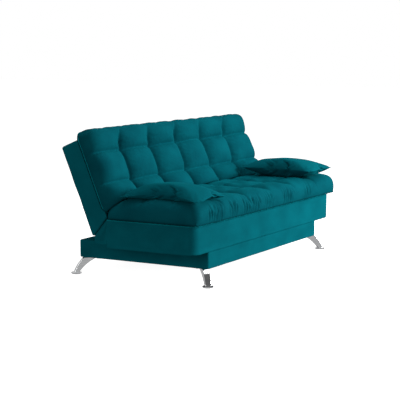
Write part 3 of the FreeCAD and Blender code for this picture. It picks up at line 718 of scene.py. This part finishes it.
def cloth_weave(name, dark, light, pitch):
    """A plain weave of crossed threads."""
    made, shader, nodes, links = nodes_of(name)
    place = nodes.new("ShaderNodeTexCoord")
    threads = []
    for direction in ("X", "Y"):
        wave = nodes.new("ShaderNodeTexWave")
        wave.bands_direction = direction
        wave.inputs["Scale"].default_value = pitch
        wave.inputs["Distortion"].default_value = 0.6
        links.new(place.outputs["Object"], wave.inputs["Vector"])
        threads.append(wave)
    both = nodes.new("ShaderNodeMath")
    both.operation = "MULTIPLY"
    links.new(threads[0].outputs["Fac"], both.inputs[0])
    links.new(threads[1].outputs["Fac"], both.inputs[1])
    tone = ramp(nodes, links, both.outputs["Value"], ((0.1, dark), (0.8, light)))
    links.new(tone.outputs["Color"], shader.inputs["Base Color"])
    shader.inputs["Roughness"].default_value = 0.9
    bump(nodes, links, shader, ((both.outputs["Value"], 0.3, 0.001),))
    return made


def plastic(name, colour):
    """Moulded plastic with a faint grain."""
    made, shader, nodes, links = nodes_of(name)
    grain = noise(nodes, links, 300.0, 2.0)
    light = tuple(part * 1.6 + 0.01 for part in colour)
    tone = ramp(nodes, links, grain.outputs["Fac"], ((0.4, colour), (0.7, light)))
    links.new(tone.outputs["Color"], shader.inputs["Base Color"])
    shader.inputs["Roughness"].default_value = 0.5
    bump(nodes, links, shader, ((grain.outputs["Fac"], 0.15, 0.0005),))
    return made


BOX_TONES = ((0.0004, 0.085, 0.108), (0.0010, 0.112, 0.140))
# painted shade: the pads get a darker copy of the box velvet, standing for the lower light they receive
PAD_SHADED_TONES = ((0.0004, 0.060, 0.079), (0.0010, 0.082, 0.104))
# painted shade: the pillows get a darker copy of the box velvet, standing for the shade they lie in
PILLOW_SHADED_TONES = ((0.0004, 0.068, 0.088), (0.0009, 0.094, 0.118))
# painted highlight: the welts get a lighter copy of the box velvet, standing for the light caught along the round
# piping
WELT_HIGHLIGHT_TONES = ((0.0006, 0.150, 0.180), (0.0012, 0.210, 0.245))
WELT_HIGHLIGHT_LOOK = velvet("welt_highlight_look", *WELT_HIGHLIGHT_TONES, 0.05)
SLOT_MATERIALS = {
    "box_velvet": velvet("box_velvet_look", *BOX_TONES, 0.05),
    "pad_velvet": velvet("pad_shaded_velvet_look", *PAD_SHADED_TONES, 0.08),
    "pillow_velvet": velvet("pillow_shaded_velvet_look", *PILLOW_SHADED_TONES, 0.08),
    "foam": plastic("foam_look", (0.80, 0.76, 0.58)),
    "dust_cloth": cloth_weave("dust_cloth_look", (0.006, 0.006, 0.007), (0.03, 0.03, 0.035), 400),
    "elastic_webbing": cloth_weave("webbing_look", (0.10, 0.08, 0.06), (0.30, 0.27, 0.22), 250),
    "chrome_leg": chrome(),
    "glide_plastic": plastic("glide_look", (0.015, 0.015, 0.016)),
    "panel_board": wood("panel_look", (0.28, 0.17, 0.09), (0.46, 0.32, 0.19), (1, 1, 9)),
    "pine": wood("pine_look", (0.45, 0.27, 0.12), (0.70, 0.50, 0.29), (0.25, 3, 3)),
    "zinc_steel": steel("zinc_look", (0.60, 0.59, 0.55), 0.38),
    "bright_steel": steel("bright_steel_look", (0.68, 0.68, 0.69), 0.28),
}


def dress(piece, slot):
    """Give a piece the look of a material slot."""
    piece.data.materials.clear()
    piece.data.materials.append(SLOT_MATERIALS[slot])
    return piece


for part in frame["record"]["subparts"]:
    node = frame["nodes"][part["node"]]
    for holder in node.material_slots:
        holder.material = SLOT_MATERIALS[part["material_slot"]]


# ---- assembly ----

def settle(piece, slot, body, *replaced):
    """Finish a piece: its look, its body and the CAD nodes it stands for."""
    dress(piece, slot)
    if replaced:
        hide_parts(*replaced)
    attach(piece, body)
    return piece


settle(make_base(), "box_velvet", "root", "base_cover")
settle(make_seat_box(), "box_velvet", "root", "seat_box_cover")
# the welts wear the lighter welt velvet, a painted highlight
seat_welt = settle(make_seat_welt(), "box_velvet", "root")
seat_welt.data.materials[0] = WELT_HIGHLIGHT_LOOK
settle(make_back_box(), "box_velvet", "back", "back_box_cover")
back_welt = settle(make_back_welt(), "box_velvet", "back")
back_welt.data.materials[0] = WELT_HIGHLIGHT_LOOK

seat_pad = subdivide(settle(make_seat_pad(), "pad_velvet", "root", "seat_pad_cover",
                            "seat_pad_foam"))
quilted_back = make_back_pad()
press_back_pad(quilted_back, surface_of(seat_pad))
back_pad = subdivide(settle(quilted_back, "pad_velvet", "back", "back_pad_cover",
                            "back_pad_foam"))

for side, sign in (("left", -1), ("right", 1)):
    cloth = make_gusset(side, sign)
    settle(cloth, "box_velvet", "root", f"gusset_{side}")
    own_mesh(cloth)

seat_top = surface_of(seat_pad)
left_pillow = make_pillow("left", seat_top, Vector((-0.812, -0.240, 0.548)), 0.0,
                          droop=0.022, thick=0.100)
right_pillow = make_pillow("right", seat_top, Vector((0.684, -0.251, 0.560)),
                           math.radians(-2.7), droop=0.0, thick=0.125)
for side, pillow in (("left", left_pillow), ("right", right_pillow)):
    settle(pillow, "pillow_velvet", f"pillow_{side}", f"pillow_{side}_cover",
           f"pillow_{side}_filling")
    subdivide(pillow)


# ---- floor, light and camera ----

def make_floor():
    """A plain pale floor."""
    reach = 30.0
    corners = [(-reach, -reach, 0), (reach, -reach, 0), (reach, reach, 0), (-reach, reach, 0)]
    floor = mesh_object("floor", corners, [(0, 1, 2, 3)], smooth=False)
    made, shader, _, _ = nodes_of("floor_look")
    shader.inputs["Base Color"].default_value = (0.95, 0.95, 0.95, 1)
    shader.inputs["Roughness"].default_value = 0.9
    shader.inputs["Specular IOR Level"].default_value = 0.0
    shader.inputs["Emission Color"].default_value = (1, 1, 1, 1)
    shader.inputs["Emission Strength"].default_value = 0.92
    floor.data.materials.append(made)
    floor.visible_diffuse = False
    floor.visible_glossy = False


def add_area(name, place, aim, size, power):
    """A soft square light."""
    data = bpy.data.lights.new(name, "AREA")
    data.size = size
    data.energy = power
    lamp = bpy.data.objects.new(name, data)
    bpy.context.scene.collection.objects.link(lamp)
    lamp.location = place
    lamp.rotation_euler = (Vector(aim) - Vector(place)).to_track_quat("-Z", "Y").to_euler()
    return lamp


def make_light():
    """A big soft key from the front right, a low fill, and a white surround."""
    world = bpy.data.worlds.new("surround")
    bpy.context.scene.world = world
    world.use_nodes = True
    nodes, links = world.node_tree.nodes, world.node_tree.links
    background = nodes["Background"]
    background.inputs["Color"].default_value = (1, 1, 1, 1)
    background.inputs["Strength"].default_value = 0.16
    seen = nodes.new("ShaderNodeBackground")
    seen.inputs["Color"].default_value = (1, 1, 1, 1)
    path = nodes.new("ShaderNodeLightPath")
    mix = nodes.new("ShaderNodeMixShader")
    links.new(path.outputs["Is Camera Ray"], mix.inputs["Fac"])
    links.new(background.outputs["Background"], mix.inputs[1])
    links.new(seen.outputs["Background"], mix.inputs[2])
    mirrored = nodes.new("ShaderNodeBackground")
    place = nodes.new("ShaderNodeTexCoord")
    parts = nodes.new("ShaderNodeSeparateXYZ")
    links.new(place.outputs["Generated"], parts.inputs["Vector"])
    shades = ramp(nodes, links, parts.outputs["Z"], ((0.0, (0.45,) * 3), (0.12, (0.75,) * 3),
                                                     (0.45, (0.12,) * 3)))
    links.new(shades.outputs["Color"], mirrored.inputs["Color"])
    mix_mirror = nodes.new("ShaderNodeMixShader")
    links.new(path.outputs["Is Glossy Ray"], mix_mirror.inputs["Fac"])
    links.new(mix.outputs["Shader"], mix_mirror.inputs[1])
    links.new(mirrored.outputs["Background"], mix_mirror.inputs[2])
    links.new(mix_mirror.outputs["Shader"], nodes["World Output"].inputs["Surface"])
    add_area("fill", (-6.0, -0.5, 1.3), (-0.9, 0, 0.4), 2.2, 75)
    add_area("key", (2.6, -5.2, 1.9), (0.1, 0, 0.4), 2.4, 560)
    add_area("top", (0.2, -0.6, 4.2), (0, 0, 0.4), 3.0, 90)


def make_camera():
    """The camera, low at the left front corner."""
    place = Vector((-7.0935, -3.8980, 1.4034))
    aim = Vector((-0.166, -0.051, 0.415))
    data = bpy.data.cameras.new("camera")
    data.sensor_width = 36.0
    data.lens = 114.05
    camera = bpy.data.objects.new("camera", data)
    bpy.context.scene.collection.objects.link(camera)
    level = (aim - place).to_track_quat("-Z", "Y").to_matrix().to_4x4()
    tip = Matrix.Rotation(math.radians(0.15), 4, "Z")
    camera.matrix_world = Matrix.Translation(place) @ level @ tip
    bpy.context.scene.camera = camera


make_floor()
make_light()
make_camera()
bpy.context.scene.view_settings.view_transform = "Standard"
